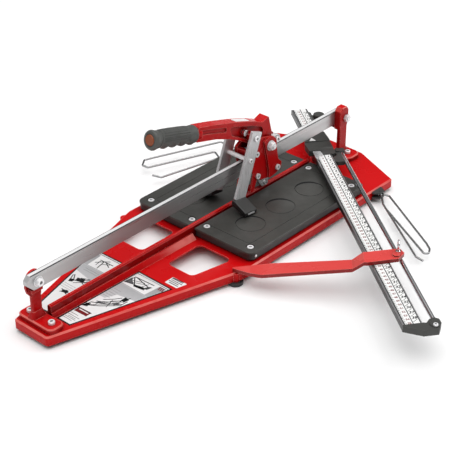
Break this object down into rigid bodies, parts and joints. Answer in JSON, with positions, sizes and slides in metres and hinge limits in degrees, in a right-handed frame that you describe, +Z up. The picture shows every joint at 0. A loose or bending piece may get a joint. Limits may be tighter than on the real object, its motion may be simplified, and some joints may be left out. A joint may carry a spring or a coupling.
{
  "type": "tile cutter",
  "caption": "Push-type tile cutter: wedge base with sprung pads, guide rail on two posts, wheeled carriage with lever and breaker feet, swinging measuring bar.",
  "frame": {"origin": "bottom of the centre foot, on the bench, under the cutting line", "axes": "+X along the cutting line towards the far post, +Y across it towards the side away from the measuring bar, +Z up"},
  "size_m": [0.8307, 0.7687, 0.2625],
  "materials": {
    "red_paint": "glossy",
    "black_paint": "satin",
    "bright_steel": "brushed",
    "zinc": "bright zinc",
    "chrome": "polished",
    "aluminium": "satin anodised",
    "pad_rubber": "matte",
    "foot_rubber": "matte",
    "grip_rubber": "matte",
    "orange_plastic": "glossy",
    "black_plastic": "fine grain",
    "white_strip": "satin print",
    "label": "coated",
    "wire": "bright plated",
    "carbide": "ground"
  },
  "bodies": {
    "frame": {"base_plate": "red_paint", "breaking_rib": "red_paint", "rubber_feet": "foot_rubber", "centre_foot": "foot_rubber", "near_post": "red_paint", "far_post": "red_paint", "post_screws": "zinc", "guide_rail": "bright_steel", "rail_screws": "zinc", "near_pad_springs": "zinc", "far_pad_springs": "zinc", "pad_screws": "zinc", "bar_pivot_pin": "zinc", "arm_pivot_pin": "zinc", "side_wire_brackets": "black_paint", "instruction_labels": "label"},
    "near_pad": {"near_pad_tray": "black_paint", "near_pad_mat": "pad_rubber"},
    "far_pad": {"far_pad_tray": "black_paint", "far_pad_mat": "pad_rubber"},
    "carriage": {"carriage_casting": "red_paint", "wheel_holder": "zinc", "holder_screws": "zinc", "wheel_axle": "zinc", "roller_axles": "zinc", "handle_pivot_bolt": "zinc"},
    "scoring_wheel": {"cutting_wheel": "carbide"},
    "roller_upper_front": {"upper_front_roller": "bright_steel"},
    "roller_upper_rear": {"upper_rear_roller": "bright_steel"},
    "roller_lower_front": {"lower_front_roller": "bright_steel"},
    "roller_lower_rear": {"lower_rear_roller": "bright_steel"},
    "handle": {"handle_casting": "red_paint", "handle_grip": "grip_rubber", "grip_plug": "orange_plastic", "handle_label": "label", "leg_pin": "zinc", "stop_screw": "zinc"},
    "breaker": {"near_leg": "zinc", "far_leg": "zinc", "cross_rod": "zinc", "rod_screws": "zinc", "near_shoe": "black_plastic", "far_shoe": "black_plastic"},
    "bar": {"measuring_bar": "aluminium", "scale_strips": "white_strip", "pivot_block": "black_plastic", "bar_pointer": "white_strip", "guide_rod": "chrome", "rod_holder": "black_plastic", "end_cap": "black_plastic", "end_cap_screw": "zinc", "knob_bracket": "black_plastic"},
    "knob": {"lock_knob": "black_plastic"},
    "arm": {"support_arm": "red_paint"},
    "clamp_screw": {"eye_screw": "chrome"},
    "near_support": {"near_side_wire": "wire"},
    "far_support": {"far_side_wire": "wire"}
  },
  "joints": [
    {"name": "carriage_slide", "type": "slide", "parent": "frame", "child": "carriage", "axis": [1, 0, 0], "range_m": [-0.445, 0.105]},
    {"name": "handle_hinge", "type": "hinge", "parent": "carriage", "child": "handle", "pos_m": [0.026, 0, 0.134], "axis": [0, 1, 0], "range_deg": [0, 45]},
    {"name": "breaker_hinge", "type": "hinge", "parent": "handle", "child": "breaker", "pos_m": [-0.0195, 0, 0.167], "axis": [0, 1, 0], "range_deg": [0, 25]},
    {"name": "wheel_spin", "type": "hinge", "parent": "carriage", "child": "scoring_wheel", "pos_m": [0.026, 0, 0.0544], "axis": [0, 1, 0], "continuous": true},
    {"name": "upper_front_spin", "type": "hinge", "parent": "carriage", "child": "roller_upper_front", "pos_m": [-0.008, 0, 0.1282], "axis": [0, 1, 0], "continuous": true},
    {"name": "upper_rear_spin", "type": "hinge", "parent": "carriage", "child": "roller_upper_rear", "pos_m": [0.062, 0, 0.1282], "axis": [0, 1, 0], "continuous": true},
    {"name": "lower_front_spin", "type": "hinge", "parent": "carriage", "child": "roller_lower_front", "pos_m": [-0.004, 0, 0.0828], "axis": [0, 1, 0], "continuous": true},
    {"name": "lower_rear_spin", "type": "hinge", "parent": "carriage", "child": "roller_lower_rear", "pos_m": [0.046, 0, 0.0828], "axis": [0, 1, 0], "continuous": true},
    {"name": "near_pad_press", "type": "slide", "parent": "frame", "child": "near_pad", "axis": [0, 0, 1], "range_m": [-0.0025, 0], "stiffness_N_per_m": 4000, "springref_m": 0.003, "deforming": ["near_pad_springs"]},
    {"name": "far_pad_press", "type": "slide", "parent": "frame", "child": "far_pad", "axis": [0, 0, 1], "range_m": [-0.0025, 0], "stiffness_N_per_m": 4000, "springref_m": 0.003, "deforming": ["far_pad_springs"]},
    {"name": "bar_swivel", "type": "hinge", "parent": "frame", "child": "bar", "pos_m": [0.1895, 0, 0.056], "axis": [0, 0, 1], "range_deg": [0, 37.5]},
    {"name": "knob_turn", "type": "hinge", "parent": "bar", "child": "knob", "pos_m": [0.28916, 0.07731, 0.058], "axis": [0, 0, 1], "range_deg": [-180, 180]},
    {"name": "arm_swing", "type": "hinge", "parent": "frame", "child": "arm", "pos_m": [-0.189, -0.137, 0.027], "axis": [0, 0, 1], "range_deg": [-100, 0]},
    {"name": "clamp_turn", "type": "hinge", "parent": "arm", "child": "clamp_screw", "pos_m": [-0.0255, -0.337, 0.075], "axis": [0, 0, 1], "range_deg": [-180, 180]},
    {"name": "near_support_swing", "type": "hinge", "parent": "frame", "child": "near_support", "pos_m": [0.1855, -0.1495, 0.016], "axis": [0, 0, 1], "range_deg": [-30, 30]},
    {"name": "far_support_swing", "type": "hinge", "parent": "frame", "child": "far_support", "pos_m": [0.138, 0.1495, 0.016], "axis": [0, 0, 1], "range_deg": [-68, 0]}
  ],
  "couplings": [
    {"joint": "upper_front_spin", "follows": "carriage_slide", "rad_per_m": 114.94},
    {"joint": "upper_rear_spin", "follows": "carriage_slide", "rad_per_m": 114.94},
    {"joint": "lower_front_spin", "follows": "carriage_slide", "rad_per_m": -126.58},
    {"joint": "lower_rear_spin", "follows": "carriage_slide", "rad_per_m": -126.58}
  ]
}
